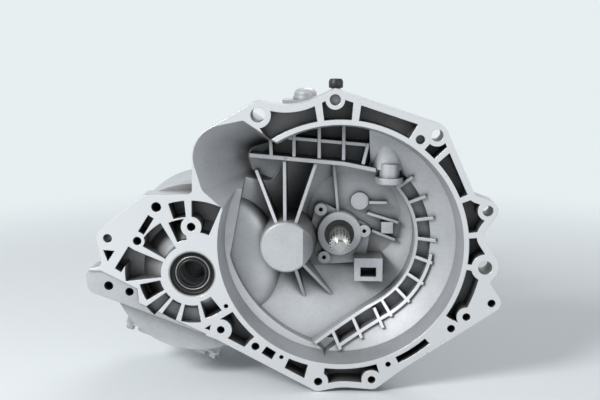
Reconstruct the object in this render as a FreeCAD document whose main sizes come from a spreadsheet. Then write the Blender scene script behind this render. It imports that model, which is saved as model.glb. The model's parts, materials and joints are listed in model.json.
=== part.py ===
# Five-speed transaxle. One casting holds the clutch bell, the differential bay and the front of the
# gear bay; a gear case, an end cover, a pressed differential cover and a shift turret close it.
# Frame: input shaft on the Y axis, engine face at Y = 0, gears towards +Y, +Z up. Millimetres.
import FreeCAD, Part
import math
import os
import re
import Sketcher
from FreeCAD import Placement, Rotation, Vector

doc = FreeCAD.newDocument("gearbox")
sheet = doc.addObject("Spreadsheet::Sheet", "Sizes")
row = 0


def setSizes(values):
    """One spreadsheet row for each named size."""
    global row
    for alias, number in values.items():
        row += 1
        sheet.set(f"A{row}", alias)
        sheet.set(f"B{row}", str(number))
        sheet.setAlias(f"B{row}", alias)


def setPlaces(fields, table):
    """Rows name_x, name_z ... for a table of places that share the same fields."""
    for name, numbers in table.items():
        setSizes({f"{name}_{field}": number for field, number in zip(fields, numbers)})


# ---- Driving dimensions -------------------------------------------------------------------------
setSizes({
    # engine face, clutch bell and differential bay of the main casting
    "flange_depth": 32, "flange_wall": 8, "pocket_depth": 27, "strip_step": 3,
    "bell_radius": 148, "bell_draft": 5, "bell_skirt": 33, "bell_wall": 6, "dish_radius": 96,
    "dish_floor": 58, "recess_floor": 92, "recess_flat": 60, "recess_rim": 162, "recess_rim_floor": 50,
    "recess_x": 20, "recess_z": 20, "casting_wall": 7, "joint_face": 185,
    "rib_thick": 4, "rib_stand": 5, "groove_width": 15, "groove_floor": 61, "grid_front": 45,
    "grid_floor": 75, "chute_depth": 72, "bulge_front": 44, "bulge_radius": 104, "bulge_round": 22,
    # shaft lines
    "output_x": -67, "output_z": -8, "axle_x": -179.4, "axle_z": -34.2,
    # input shaft hub and output shaft boss inside the bell
    "hub_radius": 29, "hub_face": 72, "hub_lug": 8, "hub_plate_face": 81, "tap_radius": 2.6,
    "boss_radius": 32, "boss_face": 30, "boss_flank": 7, "boss_root": 84, "boss_flat": 21,
    # gear case and covers
    "case_wall": 6, "case_rim": 13, "case_rim_depth": 10, "case_length": 77, "cover_length": 62,
    "axle_back": 166,
})
setPlaces(("x", "z", "r", "hole", "deep"), {
    # fixing lugs round the engine face: centre, lug radius, hole radius, hole depth
    "starter_lug": (-97.5, 159, 15.5, 8.6, 60), "top_lug": (-7, 177, 11.5, 6.5, 5),
    "shoulder_lug": (112, 136, 13, 7.2, 60), "ear_lug": (174.5, 46.5, 12, 6.4, 60),
    "waist_lug": (174, -23, 16.5, 8.4, 60), "corner_lug": (183.5, -67.5, 11.5, 4.8, 26),
    "toe_lug": (40.5, -167.5, 12.5, 4.8, 26), "heel_lug": (-25.5, -171, 12.5, 5.2, 26),
    "throat_lug": (-145.5, -105, 13.5, 4.8, 26), "knee_lug": (-179, 24.5, 12.5, 5.2, 26),
    "pivot_lug": (-281, 9.5, 14, 5.4, 60), "crown_lug": (-220.5, 48.5, 13, 6, 60),
    "foot_lug": (-283, -51, 12, 5.6, 26), "strip_lug": (-257.5, -58.5, 11, 5.2, 26),
    "dowel_lug": (92.5, 131, 9, 5.4, 8), "gate_lug": (154, -85, 12, 4.8, 26),
    "step_lug": (136, -100, 11, 4.8, 26), "sole_lug": (60.5, -147, 9, 3.4, 20),
    "arch_lug": (-71, -139.5, 8, 2.7, 16), "instep_lug": (-103, -126, 10, 5, 26),
    "shin_lug": (-138.5, -74.5, 6, 2.8, 16), "vent_lug": (-245, 6.5, 9, 5.2, 26),
})
setPlaces(("x", "z", "r"), {
    # rounded and hollow corners of the outline between the lugs
    "waist_hollow": (182.5, 16, 12), "ear_root": (163.5, 69.5, 6), "crest_hollow": (-65, 243, 73),
    "chute_corner": (-136, 108, 40), "chute_root": (-181.5, 69, 4.5), "crown_corner": (-233, 54, 9),
    "strip_root": (-297, -20, 7), "foot_top": (-300, -38, 10), "foot_end": (-298, -50, 11),
    "toe_hollow": (8, -248, 70), "throat_hollow": (-175.9, -172.2, 60), "toe_rise": (100, -182, 36), "notch": (184, -42, 3),
    # starter pocket at the engine face and at its foot
    "chute_tip": (-116, 150, 3), "chute_low": (-156.5, 75, 11), "chute_neck": (-128, 38, 3),
    "chute_crest": (-70, 120, 3), "chute_shell": (-126, 108, 30), "chute_shell_low": (-142, 80, 12), "chute_foot_tip": (-92, 112, 6), "chute_foot_out": (-104, 102, 12),
    "chute_foot_low": (-104, 88, 8), "chute_foot_neck": (-86, 77, 4), "chute_foot_crest": (-66, 104, 4),
    # inner edge of the long curved rib in the bell
    "recess_top": (20, 85, 9), "recess_left": (-108, 98, 6), "recess_side": (-120, -90, 30),
    "recess_tail": (-58, -97, 43), "recess_arc": (0, 0, 94.5),
    # raised plate round the input hub
    "plate_low": (-34, -33, 10), "plate_right": (26, -30, 9), "plate_end": (32, 4, 8),
    "plate_top": (-24, 32, 8),
})
setPlaces(("from", "to", "reach"), {
    # weight-saving pockets between the bell and the outer wall: angles about the input shaft
    "crest_pocket": (100.3, 123.6, 220), "top_pocket": (85.4, 97.4, 220),
    "brow_pocket": (59, 82.3, 220), "shoulder_pocket": (44.7, 50.6, 220),
    "side_pocket": (23.8, 42.3, 220), "elbow_pocket": (7.3, 21.2, 220),
    "waist_pocket": (-7, 4.8, 220), "gate_pocket": (-33, -9.6, 171), "sole_pocket": (-63.3, -47.2, 162.5),
    "toe_pocket": (-96.6, -72.6, 220), "heel_pocket": (-113.6, -104.4, 220),
    "arch_pocket": (-125.4, -120.2, 165), "throat_pocket": (-148, -132.6, 220),
})
setPlaces(("from", "to", "near", "reach"), {
    # pockets between the ribs round the axle boss: angles about the axle, inner and outer radius
    "crown_pocket": (94.5, 107, 71, 91), "knee_pocket": (66, 89, 53, 91), "slot_pocket": (97, 113, 43, 69),
    "upper_bay": (120, 150, 37, 73), "middle_bay": (157, 187, 38, 82), "lower_bay": (192, 211, 40, 66),
    "shin_bay": (285, 308, 36, 58),
})
setPlaces(("from", "to", "near", "reach"), {
    # shallow bays under the axle boss, above the stepped strip
    "sill_bay_left": (216, 228, 40, 72), "sill_bay_mid": (233, 250, 40, 64),
    "sill_bay_right": (256, 279, 40, 62),
})
setPlaces(("x", "z", "long", "wide"), {
    "upper_slot": (-233.6, 26.5, 24, 8), "lower_slot": (-261, -16.5, 33, 9),
})
setSizes({"slot_angle": 57.5, "sill_depth": 12, "seal_boss": 35, "seal_seat": 29, "axle_cone_root": 66,
          "axle_cone_top": 40})
setSizes({"sweep_end_x": -44, "sweep_end_z": -120, "comb_start": 42, "comb_pitch": 14, "comb_count": 8,
          "tail_count": 3, "tail_pitch": 30, "comb_long": 25, "grid_end": 37})
setPlaces(("x", "z", "far_x", "far_z"), {
    # straight ribs: the grid over the recess, then the webs of the hub plate and of the recess floor
    "grid_second": (-64, 127, 31, 119), "grid_first_post": (-86, 126, -85, 104),
    "grid_second_post": (-57, 140, -57, 104), "grid_third_post": (-26, 146, -26, 102),
    "grid_fourth_post": (4, 147, 4, 100), "grid_last_post": (34, 121, 28, 95),
    "hub_web_top": (-8, 93, -2, 28), "floor_rib_one": (38, 40, 61, 40), "floor_rib_two": (36, 26, 76, 14),
    "floor_rib_three": (42, 3, 72, -9),
})
setPlaces(("x", "z", "far_x", "far_z", "drop"), {
    # sloping webs that run out from the output shaft boss, and how far they drop on the way
    "web_left": (-75, 12, -105, 85, 22), "web_upright": (-68, 12, -69, 98, 14),
    "web_right": (-58, 12, -30, 95, 14), "web_down": (-57, -30, -40, -102, 44),
    "web_slant": (-48, -28, -1, -92, 46),
})
setSizes({"web_thick_thin": 3.5, "release_x": 61, "release_y": 60, "release_radius": 21, "release_foot": 88,
          "release_lean": 10.5, "release_bore": 9, "release_bush_radius": 11.5, "release_collar": 16,
          "bracket_x": 37, "bracket_z": -42, "bracket_wide": 36, "bracket_high": 30, "bracket_face": 54,
          "floor_pad_face": 85, "floor_rib_face": 80})
setPlaces(("x", "z", "r"), {
    "hub_pad": (26, 41, 11.5), "rail_pad": (-69, 55, 11), "stub_pad": (-100, 56, 10), "gate_pad": (-81, 73, 10),
})
setPlaces(("x", "z", "r"), {
    # rear outlines: gear bay round the shafts and the shift rail, differential bay round the axle
    "input_bay": (0, 0, 57), "rail_bay": (-36, 60, 26), "output_bay": (-67, -8, 69),
    "axle_bay": (-179.4, -34.2, 107),
})
setSizes({
    "sump_angle": 19.75, "sump_reach": 109.5, "sump_long": 128, "sump_wide": 100, "sump_start": 58,
    "sump_rim": 13, "sump_sheet": 2, "sump_bulge": 12,
    "turret_x": -55, "turret_y": 150, "turret_base": 88, "turret_long": 56, "turret_wide": 60,
    "bearing_radius": 26, "bearing_width": 15, "axle_bearing_radius": 31, "axle_bearing_width": 16,
    "input_journal": 13, "output_journal": 12, "seal_radius": 19, "seal_width": 8,
    "input_bearing_y": 84, "output_bearing_y": 40, "axle_bearing_y": 33, "axle_rear_bearing_y": 149,
    "axle_bore": 22, "wall_front": 100, "case_back": 246, "running_gap": 0.1,
    "ring_cavity": 98, "ring_front": 50, "pinion_cavity": 28.5,
})
setSizes({
    # shafts: distances along Y from the engine face
    "spline_tip": 5, "spline_end": 46, "spline_radius": 11, "pilot_radius": 6.5, "neck_radius": 10.5,
    "case_wall_front": 246, "case_wall_back": 262, "cover_back": 332, "gear_face": 14,
    "output_radius": 13, "pinion_face": 24, "sleeve_radius": 35, "sleeve_width": 18, 
    "fork_groove": 3, "fork_width": 7, "fork_play": 0.4, "rail_radius": 7, "rail_x": -36, "rail_z": 66,
    "reverse_module": 3.4, "idler_shaft_radius": 8, "backlash": 0.16,
    "ring_gear_y": 69, "ring_gear_face": 18, "axle_case_radius": 46, "bolt_head": 5.5, "bolt_deep": 14,
    "cover_sheet": 2, "plug_radius": 9,
})
setPlaces(("y", "drive", "driven"), {
    # gear pairs: middle along Y, teeth on the input side, teeth on the output side
    "first": (116, 8, 28), "second": (160, 11, 21), "third": (182, 14, 18), "fourth": (226, 17, 15),
    "fifth": (273, 19, 13), "final": (75, 12, 50),
})
setPlaces(("y",), {"low_sleeve": (138,), "high_sleeve": (204,), "top_sleeve": (295,)})
setPlaces(("y", "drive", "idle", "driven"), {"reverse": (317, 10, 12, 20)})
doc.recompute()


# ---- Drawing helpers ----------------------------------------------------------------------------
def bind(text):
    """Sheet references for the bare size names of an expression."""
    return re.sub(r"\b([a-z]\w*)\b(?!\s*\()", r"Sizes.\1", str(text))


def val(text):
    """The number that an expression in size names stands for."""
    return float(sheet.evalExpression(bind(text)))


def tie(item, **fields):
    """Bind properties of an object to expressions in size names."""
    for field, text in fields.items():
        item.setExpression(field, bind(text))
    return item


def move(item, x="0", y="0", z="0"):
    """Bind the position of an object."""
    for axis, text in (("x", x), ("y", y), ("z", z)):
        item.setExpression(f"Placement.Base.{axis}", bind(text))
    return item


FACE = Rotation(Vector(1, 0, 0), 90)
ALONG_Y = Rotation(Vector(1, 0, 0), -90)


def faceSketch(name, y="0"):
    """A sketch that faces the engine at the distance y: its axes are X and Z."""
    sketch = doc.addObject("Sketcher::SketchObject", name)
    sketch.Placement = Placement(Vector(0, val(y), 0), FACE)
    sketch.setExpression("Placement.Base.y", bind(y))
    return sketch


def pin(sketch, kind, geometry, point, text):
    """One bound distance of a sketch point from the sketch origin."""
    index = sketch.addConstraint(Sketcher.Constraint(kind, -1, 1, geometry, point, val(text)))
    sketch.setExpression(f"Constraints[{index}]", bind(text))


def pinRadius(sketch, geometry, text):
    index = sketch.addConstraint(Sketcher.Constraint("Radius", geometry, val(text)))
    sketch.setExpression(f"Constraints[{index}]", bind(text))


def addCircle(sketch, x, z, radius):
    """A circle bound to expressions for its centre and radius."""
    circle = Part.Circle(Vector(val(x), val(z), 0), Vector(0, 0, 1), val(radius))
    geometry = sketch.addGeometry(circle)
    pin(sketch, "DistanceX", geometry, 3, x)
    pin(sketch, "DistanceY", geometry, 3, z)
    pinRadius(sketch, geometry, radius)
    return geometry


def tangentNormals(circles):
    """Right-hand normals of the lines that run tangent from each circle to the next."""
    normals = []
    for (x, z, r), (nextX, nextZ, nextR) in zip(circles, circles[1:] + circles[:1]):
        gap = math.hypot(nextX - x, nextZ - z)
        ux, uz = (nextX - x) / gap, (nextZ - z) / gap
        cosine = (r - nextR) / gap
        sine = math.sqrt(1 - cosine * cosine)
        normals.append((ux * cosine + uz * sine, uz * cosine - ux * sine))
    return normals


def addBelt(sketch, stations, inset="0", shift=("0", "0")):
    """A closed outline of arcs and tangent lines, run anticlockwise round named circles.

    A name with a minus sign is a hollow corner: the outline passes on the circle's other side.
    """
    names = [name.lstrip("-") for name in stations]
    signs = [-1 if name.startswith("-") else 1 for name in stations]
    centres = [(f"{name}_x + {shift[0]}", f"{name}_z + {shift[1]}") for name in names]
    radii = [f"{name}_r - ({inset})" if sign > 0 else f"{name}_r + {inset}"
             for name, sign in zip(names, signs)]
    circles = [(val(x), val(z), sign * val(r)) for (x, z), r, sign in zip(centres, radii, signs)]
    normals = tangentNormals(circles)
    first = sketch.GeometryCount
    for index, (x, z, r) in enumerate(circles):
        before, after = normals[index - 1], normals[index]
        start = math.atan2(before[1] * r, before[0] * r)
        end = math.atan2(after[1] * r, after[0] * r)
        if r < 0:
            start, end = end, start
        circle = Part.Circle(Vector(x, z, 0), Vector(0, 0, 1), abs(r))
        sketch.addGeometry(Part.ArcOfCircle(circle, start, end))
        nextX, nextZ, nextR = circles[(index + 1) % len(circles)]
        sketch.addGeometry(Part.LineSegment(Vector(x + r * after[0], z + r * after[1], 0),
                                            Vector(nextX + nextR * after[0], nextZ + nextR * after[1], 0)))
    count = 2 * len(circles)
    for index, sign in enumerate(signs):
        arc, line = first + 2 * index, first + 2 * index + 1
        following = first + (2 * index + 2) % count
        nextSign = signs[(index + 1) % len(signs)]
        sketch.addConstraint([
            Sketcher.Constraint("Tangent", arc, 2 if sign > 0 else 1, line, 1),
            Sketcher.Constraint("Tangent", line, 2, following, 1 if nextSign > 0 else 2)])
        pin(sketch, "DistanceX", arc, 3, centres[index][0])
        pin(sketch, "DistanceY", arc, 3, centres[index][1])
        pinRadius(sketch, arc, radii[index])


def addSector(sketch, x, z, near, reach, start, end):
    """A ring sector between two bound radii about a bound centre, from one angle to another."""
    centre = Vector(val(x), val(z), 0)
    angles = [math.radians(val(start)), math.radians(val(end))]
    radii = [val(near), val(reach)]
    corners = [[centre + Vector(r * math.cos(a), r * math.sin(a), 0) for a in angles] for r in radii]
    inner = sketch.addGeometry(Part.ArcOfCircle(Part.Circle(centre, Vector(0, 0, 1), radii[0]), *angles))
    outer = sketch.addGeometry(Part.ArcOfCircle(Part.Circle(centre, Vector(0, 0, 1), radii[1]), *angles))
    low = sketch.addGeometry(Part.LineSegment(corners[0][0], corners[1][0]))
    high = sketch.addGeometry(Part.LineSegment(corners[0][1], corners[1][1]))
    sketch.addConstraint([
        Sketcher.Constraint("Coincident", inner, 1, low, 1), Sketcher.Constraint("Coincident", low, 2, outer, 1),
        Sketcher.Constraint("Coincident", inner, 2, high, 1), Sketcher.Constraint("Coincident", high, 2, outer, 2),
        Sketcher.Constraint("Coincident", inner, 3, outer, 3)])
    pin(sketch, "DistanceX", inner, 3, x)
    pin(sketch, "DistanceY", inner, 3, z)
    pinRadius(sketch, inner, near)
    pinRadius(sketch, outer, reach)


def addLoop(sketch, corners):
    """A closed straight-sided outline through corners given as pairs of expressions."""
    points = [Vector(val(u), val(v), 0) for u, v in corners]
    first = sketch.GeometryCount
    for here, there in zip(points, points[1:] + points[:1]):
        sketch.addGeometry(Part.LineSegment(here, there))
    count = len(points)
    sketch.addConstraint([Sketcher.Constraint("Coincident", first + index, 2, first + (index + 1) % count, 1)
                          for index in range(count)])
    for index, (u, v) in enumerate(corners):
        pin(sketch, "DistanceX", first + index, 1, u)
        pin(sketch, "DistanceY", first + index, 1, v)


def addBar(sketch, x, z, toX, toZ, thick):
    """A straight bar of the given thickness between two points."""
    startX, startZ, endX, endZ, half = val(x), val(z), val(toX), val(toZ), val(thick) / 2
    long = math.hypot(endX - startX, endZ - startZ)
    sideX, sideZ = -(endZ - startZ) / long * half, (endX - startX) / long * half
    corners = [(startX + sideX, startZ + sideZ), (startX - sideX, startZ - sideZ),
               (endX - sideX, endZ - sideZ), (endX + sideX, endZ + sideZ)]
    points = [Vector(u, v, 0) for u, v in corners]
    for here, there in zip(points, points[1:] + points[:1]):
        sketch.addGeometry(Part.LineSegment(here, there))


def extrude(sketch, length, name=None):
    """A solid from a face sketch, grown towards +Y by a bound length."""
    solid = doc.addObject("Part::Extrusion", name or sketch.Name + "Solid")
    solid.Base = sketch
    solid.DirMode = "Custom"
    solid.Dir = Vector(0, 1, 0)
    solid.Solid = True
    return tie(solid, LengthFwd=length)


def cylinder(name, radius, length, x="0", y="0", z="0", along=ALONG_Y):
    """A bound cylinder, along +Y unless another rotation is given."""
    solid = doc.addObject("Part::Cylinder", name)
    solid.Placement = Placement(Vector(0, 0, 0), along)
    return move(tie(solid, Radius=radius, Height=length), x, y, z)


def box(name, long, deep, high, x="0", y="0", z="0"):
    """A bound box that starts at the given corner."""
    return move(tie(doc.addObject("Part::Box", name), Length=long, Width=deep, Height=high), x, y, z)


def profileRing(name, corners, x="0", z="0"):
    """A solid turned about a line along Y, from (radius, y) corners."""
    sketch = doc.addObject("Sketcher::SketchObject", name + "Profile")
    addLoop(sketch, corners)
    solid = doc.addObject("Part::Revolution", name)
    solid.Source = sketch
    solid.Axis = Vector(0, 1, 0)
    solid.Base = Vector(0, 0, 0)
    solid.Angle = 360
    solid.Solid = True
    return move(solid, x, "0", z)


def fuse(name, shapes):
    solid = doc.addObject("Part::MultiFuse", name)
    solid.Shapes = shapes
    solid.Refine = False
    return solid


def common(name, shapes):
    solid = doc.addObject("Part::MultiCommon", name)
    solid.Shapes = shapes
    solid.Refine = False
    return solid


def cut(name, base, tool):
    solid = doc.addObject("Part::Cut", name)
    solid.Base = base
    solid.Tool = tool
    solid.Refine = False
    return solid


pieces = {}


def piece(label, item):
    """Registers a finished sub-part under the label that names its file."""
    item.Label = label
    pieces[label] = item
    return item


def turned(label, corners, x="0", z="0"):
    """A turned sub-part: a PartDesign body with one revolved profile of (radius, y) corners."""
    body = doc.addObject("PartDesign::Body", label)
    sketch = body.newObject("Sketcher::SketchObject", label + "Profile")
    plane = next(item for item in body.Origin.OriginFeatures if item.Role == "XY_Plane")
    sketch.AttachmentSupport = [(plane, "")]
    sketch.MapMode = "FlatFace"
    addLoop(sketch, corners)
    spin = body.newObject("PartDesign::Revolution", label + "Turned")
    spin.Profile = sketch
    spin.ReferenceAxis = (sketch, ["V_Axis"])
    spin.Angle = 360
    spin.Refine = False
    body.Tip = spin
    move(body, x, "0", z)
    return piece(label, body)


# ---- Main casting: engine face ------------------------------------------------------------------
outline = ["corner_lug", "-notch", "waist_lug", "-waist_hollow", "ear_lug", "-ear_root", "shoulder_lug",
           "top_lug", "-crest_hollow", "starter_lug", "chute_corner", "-chute_root", "crown_corner",
           "pivot_lug", "-strip_root", "foot_top", "foot_end", "-throat_hollow", "heel_lug", "-toe_hollow",
           "toe_lug", "-toe_rise"]
faceOutline = faceSketch("FaceOutline")
addBelt(faceOutline, outline)
facePlate = extrude(faceOutline, "flange_depth", "FacePlate")

# Pockets between the bell wall and the outer wall, less the lugs that stand in them.
pocketOutline = faceSketch("PocketOutline", "-1")
addBelt(pocketOutline, outline, "flange_wall")
pocketCore = extrude(pocketOutline, "pocket_depth + 1", "PocketCore")
windows = faceSketch("PocketWindows", "-2")
for name in ("crest", "top", "brow", "shoulder", "side", "elbow", "waist", "gate", "sole", "toe", "heel",
             "arch", "throat"):
    addSector(windows, "0", "0", "bell_radius + bell_wall", f"{name}_pocket_reach",
              f"{name}_pocket_from", f"{name}_pocket_to")
windowSolid = extrude(windows, "pocket_depth + 4", "PocketWindowSolid")
bellPockets = common("BellPockets", [pocketCore, windowSolid])

lugs = ["starter_lug", "top_lug", "shoulder_lug", "ear_lug", "waist_lug", "corner_lug", "toe_lug",
        "heel_lug", "throat_lug", "knee_lug", "pivot_lug", "crown_lug", "foot_lug", "strip_lug",
        "dowel_lug", "gate_lug", "step_lug", "sole_lug", "arch_lug", "instep_lug", "shin_lug", "vent_lug"]
lugSketch = faceSketch("Lugs", "-3")
lugSolids = []
for name in lugs:
    lugSolids.append(cylinder(name.title().replace("_", ""), f"{name}_r", "flange_depth + 3",
                              f"{name}_x", "-3", f"{name}_z"))
pocketBosses = fuse("PocketBosses", lugSolids)
bellPocketVoid = cut("BellPocketVoid", bellPockets, pocketBosses)

# Pockets between the ribs that run out from the axle boss, on a cone that backs the boss.
bayOutline = faceSketch("BayWindows", "-1")
for name in ("crown_pocket", "knee_pocket", "slot_pocket", "upper_bay", "middle_bay", "lower_bay", "shin_bay"):
    addSector(bayOutline, "axle_x", "axle_z", f"{name}_near", f"{name}_reach", f"{name}_from", f"{name}_to")
bayWindows = extrude(bayOutline, "pocket_depth + 1", "BayWindowSolid")
sillOutline = faceSketch("SillWindows", "-1")
for name in ("sill_bay_left", "sill_bay_mid", "sill_bay_right"):
    addSector(sillOutline, "axle_x", "axle_z", f"{name}_near", f"{name}_reach", f"{name}_from", f"{name}_to")
sillWindows = extrude(sillOutline, "sill_depth + 1", "SillWindowSolid")
slots = []
for name in ("upper_slot", "lower_slot"):
    slot = box(name.title().replace("_", ""), f"{name}_long", f"{name}_wide", "pocket_depth + 1")
    slot.Placement = Placement(Vector(0, 0, 0), Rotation(Vector(0, -1, 0), val("slot_angle")) * FACE)
    slots.append(move(slot, f"{name}_x - cos(slot_angle) * {name}_long / 2 + sin(slot_angle) * {name}_wide / 2",
                      "pocket_depth",
                      f"{name}_z - sin(slot_angle) * {name}_long / 2 - cos(slot_angle) * {name}_wide / 2"))
heelGap = faceSketch("PivotGap", "-1")
addLoop(heelGap, [("pivot_lug_x - 6", "pivot_lug_z - 14.5"), ("pivot_lug_x - 1", "pivot_lug_z - 29"),
                  ("pivot_lug_x + 8", "pivot_lug_z - 15.5")])
pivotGap = extrude(heelGap, "pocket_depth + 1", "PivotGapSolid")
axleCone = doc.addObject("Part::Cone", "AxleCone")
axleCone.Placement = Placement(Vector(0, 0, 0), ALONG_Y)
tie(axleCone, Radius1="axle_cone_top", Radius2="axle_cone_root + 12", Height="pocket_depth + 6")
move(axleCone, "axle_x", "6", "axle_z")
bayBosses = fuse("BayBosses", [axleCone] + [doc.getObject(name) for name in
                                            ("KneeLug", "CrownLug", "PivotLug", "VentLug", "ShinLug")])
bayVoid = cut("BayVoid", fuse("BayTools", [bayWindows, sillWindows] + slots + [pivotGap]), bayBosses)

# The strip below the bays lies a little behind the engine face.
stripOutline = faceSketch("StripStep", "-1")
addLoop(stripOutline, [("foot_lug_x - 40", "foot_lug_z + 20"), ("foot_lug_x - 8", "foot_lug_z + 20"),
                       ("strip_lug_x + 11", "strip_lug_z + 5"), ("strip_lug_x + 12", "strip_lug_z - 13"),
                       ("throat_lug_x - 19", "throat_lug_z - 5"), ("throat_lug_x - 10", "throat_lug_z - 40"),
                       ("foot_lug_x - 40", "foot_lug_z - 40")])
stripStep = extrude(stripOutline, "strip_step + 1", "StripStepSolid")

# ---- Main casting: inside of the bell -----------------------------------------------------------
bellTurn = profileRing("BellTurn", [("0", "-2"), ("bell_radius", "-2"), ("bell_radius", "0"),
                                    ("bell_radius - bell_draft", "bell_skirt"),
                                    ("dish_radius", "dish_floor"), ("0", "dish_floor")])
chuteMouth = faceSketch("ChuteMouth", "-1")
addBelt(chuteMouth, ["chute_tip", "chute_corner", "chute_low", "chute_neck", "chute_crest"], "0")
chuteFoot = faceSketch("ChuteFoot", "chute_depth")
addBelt(chuteFoot, ["chute_foot_tip", "chute_foot_out", "chute_foot_low", "chute_foot_neck",
                    "chute_foot_crest"])
chute = doc.addObject("Part::Loft", "StarterChute")
chute.Sections = [chuteMouth, chuteFoot]
chute.Solid = True
chute.Ruled = True
recessOutline = faceSketch("RecessOutline", "-1")
recess = ["recess_arc", "recess_top", "recess_left", "recess_side", "recess_tail"]
addBelt(recessOutline, recess)
recessPlan = extrude(recessOutline, "recess_floor + 1", "RecessPlan")
recessCone = profileRing("RecessCone", [("0", "-2"), ("recess_rim", "-2"), ("recess_rim", "recess_rim_floor"),
                                        ("recess_flat", "recess_floor"), ("0", "recess_floor")],
                         "recess_x", "recess_z")
recessLimit = cylinder("RecessLimit", "bell_radius - bell_draft - 0.5", "recess_floor + 3", y="-1")
recessVoid = common("RecessVoid", [recessPlan, recessCone, recessLimit])
sweepPlan = faceSketch("SweepWindow", "-2")
addLoop(sweepPlan, [("sweep_end_x", "sweep_end_z"), ("sweep_end_x + 30", "0 - bell_radius"),
                    ("bell_radius", "0 - bell_radius"), ("bell_radius", "88"), ("62", "88"),
                    ("30", "30")])
sweepWindow = extrude(sweepPlan, "recess_floor + 10", "SweepWindowSolid")


def recessBand(name, near, far, depth):
    """A band along the outside of the curved rib, between two distances from the recess edge."""
    inside = faceSketch(name + "Inside", "-2")
    addBelt(inside, recess, f"0 - ({near})")
    outside = faceSketch(name + "Outside", "-1")
    addBelt(outside, recess, f"0 - ({far})")
    ring = cut(name + "Ring", extrude(outside, f"{depth} + 1"), extrude(inside, f"{depth} + 4"))
    return common(name, [ring, sweepWindow])


groove = recessBand("Groove", "rib_thick", "rib_thick + groove_width", "groove_floor")
gridPlan = faceSketch("GridPlan", "-1")
addLoop(gridPlan, [("-110", "recess_left_z + 8"), ("0", "recess_left_z - 2"), ("34", "recess_left_z - 8"),
                   ("grid_end", "recess_left_z"), ("grid_end - 3", "bell_radius"), ("-74", "bell_radius")])
gridWindow = extrude(gridPlan, "grid_floor + 1", "GridWindow")
gridLimit = cylinder("GridLimit", "bell_radius - 5", "grid_floor + 3", y="-1")
gridVoid = common("GridVoid", [gridWindow, gridLimit])
bellVoid = fuse("BellVoid", [bellTurn, chute, recessVoid, groove, gridVoid])

# What stands in the bell: ribs follow the dish at a constant height.
ribCap = profileRing("RibCap", [("0", "dish_floor - rib_stand"), ("dish_radius", "dish_floor - rib_stand"),
                                ("bell_radius - bell_draft", "bell_skirt - rib_stand"),
                                ("bell_radius + 2", "bell_skirt - rib_stand"), ("bell_radius + 2", "110"),
                                ("0", "110")])
recessRib = recessBand("RecessRib", "0", "rib_thick", "recess_floor")
footWindow = box("FootWindow", "bell_radius", "recess_floor", "bell_radius", "0", "-2", "-18 - bell_radius")
outerRib = common("OuterRib", [recessBand("OuterBand", "rib_thick + groove_width", "2 * rib_thick + groove_width",
                                          "recess_floor"), footWindow])
combPlan = faceSketch("CombPlan", "1")
for index in range(int(val("comb_count"))):
    angle = f"(comb_start - {index} * comb_pitch)"
    near = "(recess_arc_r + 1)"
    far = "(recess_arc_r + comb_long)"
    addBar(combPlan, f"{near} * cos{angle}", f"{near} * sin{angle}", f"{far} * cos{angle}",
           f"{far} * sin{angle}", "rib_thick")
for index in range(int(val("tail_count"))):
    x, z = f"45 - {index} * tail_pitch * cos(26.5)", f"-91 - {index} * tail_pitch * sin(26.5)"
    addBar(combPlan, x, z, f"{x} + comb_long * sin(26.5)", f"{z} - comb_long * cos(26.5)", "rib_thick")
comb = extrude(combPlan, "recess_floor", "Comb")
dishRibs = common("DishRibs", [fuse("DishRibPlans", [recessRib, outerRib, comb]), ribCap])


def web(name, start, end, drop, thick):
    """An upright web between two points whose edge drops away from the boss face."""
    x, z, toX, toZ = val(start[0]), val(start[1]), val(end[0]), val(end[1])
    long = math.hypot(toX - x, toZ - z)
    along, across = (toX - x) / long, (toZ - z) / long
    sketch = doc.addObject("Sketcher::SketchObject", name + "Side")
    turn = Rotation(Vector(along, 0, across), Vector(0, 1, 0), Vector(-across, 0, along), "ZXY")
    half = val(thick) / 2
    sketch.Placement = Placement(Vector(x + across * half, 0, z - along * half), turn)
    addLoop(sketch, [("0", "boss_face + 5"), (str(long), f"boss_face + 5 + {drop}"),
                     (str(long), "recess_floor + 2"), ("0", "recess_floor + 2")])
    solid = doc.addObject("Part::Extrusion", name)
    solid.Base = sketch
    solid.DirMode = "Normal"
    solid.Solid = True
    return tie(solid, LengthFwd=thick)


uprights = faceSketch("GridPosts", "grid_front")
for name in ("grid_first_post", "grid_second_post", "grid_third_post", "grid_fourth_post", "grid_last_post"):
    addBar(uprights, f"{name}_x", f"{name}_z", f"{name}_far_x", f"{name}_far_z", "rib_thick")
level = faceSketch("GridLevel", "grid_front + 0.5")
addBar(level, "grid_second_x", "grid_second_z", "grid_second_far_x", "grid_second_far_z", "rib_thick")
gridEdgePlan = faceSketch("GridEdge", "grid_front")
addLoop(gridEdgePlan, [("-112", "recess_left_z + 10"), ("-112", "recess_left_z + 5"),
                       ("4", "recess_left_z - 5"), ("44", "recess_left_z - 13"),
                       ("44", "recess_left_z - 8"), ("4", "recess_left_z")])
gridRibs = [extrude(uprights, "55", "GridPostSolid"), extrude(level, "54", "GridLevelSolid"),
            extrude(gridEdgePlan, "55", "GridEdgeSolid")]
webs = [web(name.title().replace("_", ""), (f"{name}_x", f"{name}_z"), (f"{name}_far_x", f"{name}_far_z"),
            f"{name}_drop", "rib_thick")
        for name in ("web_left", "web_upright", "web_right", "web_down", "web_slant")]
floorRibPlan = faceSketch("FloorRibs", "floor_rib_face")
for name in ("hub_web_top", "floor_rib_one", "floor_rib_two", "floor_rib_three"):
    addBar(floorRibPlan, f"{name}_x", f"{name}_z", f"{name}_far_x", f"{name}_far_z", "web_thick_thin")
floorRibs = extrude(floorRibPlan, "20", "FloorRibSolid")
padPlan = faceSketch("FloorPads", "floor_pad_face")
for name in ("hub_pad", "rail_pad", "stub_pad"):
    addCircle(padPlan, f"{name}_x", f"{name}_z", f"{name}_r")
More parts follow.
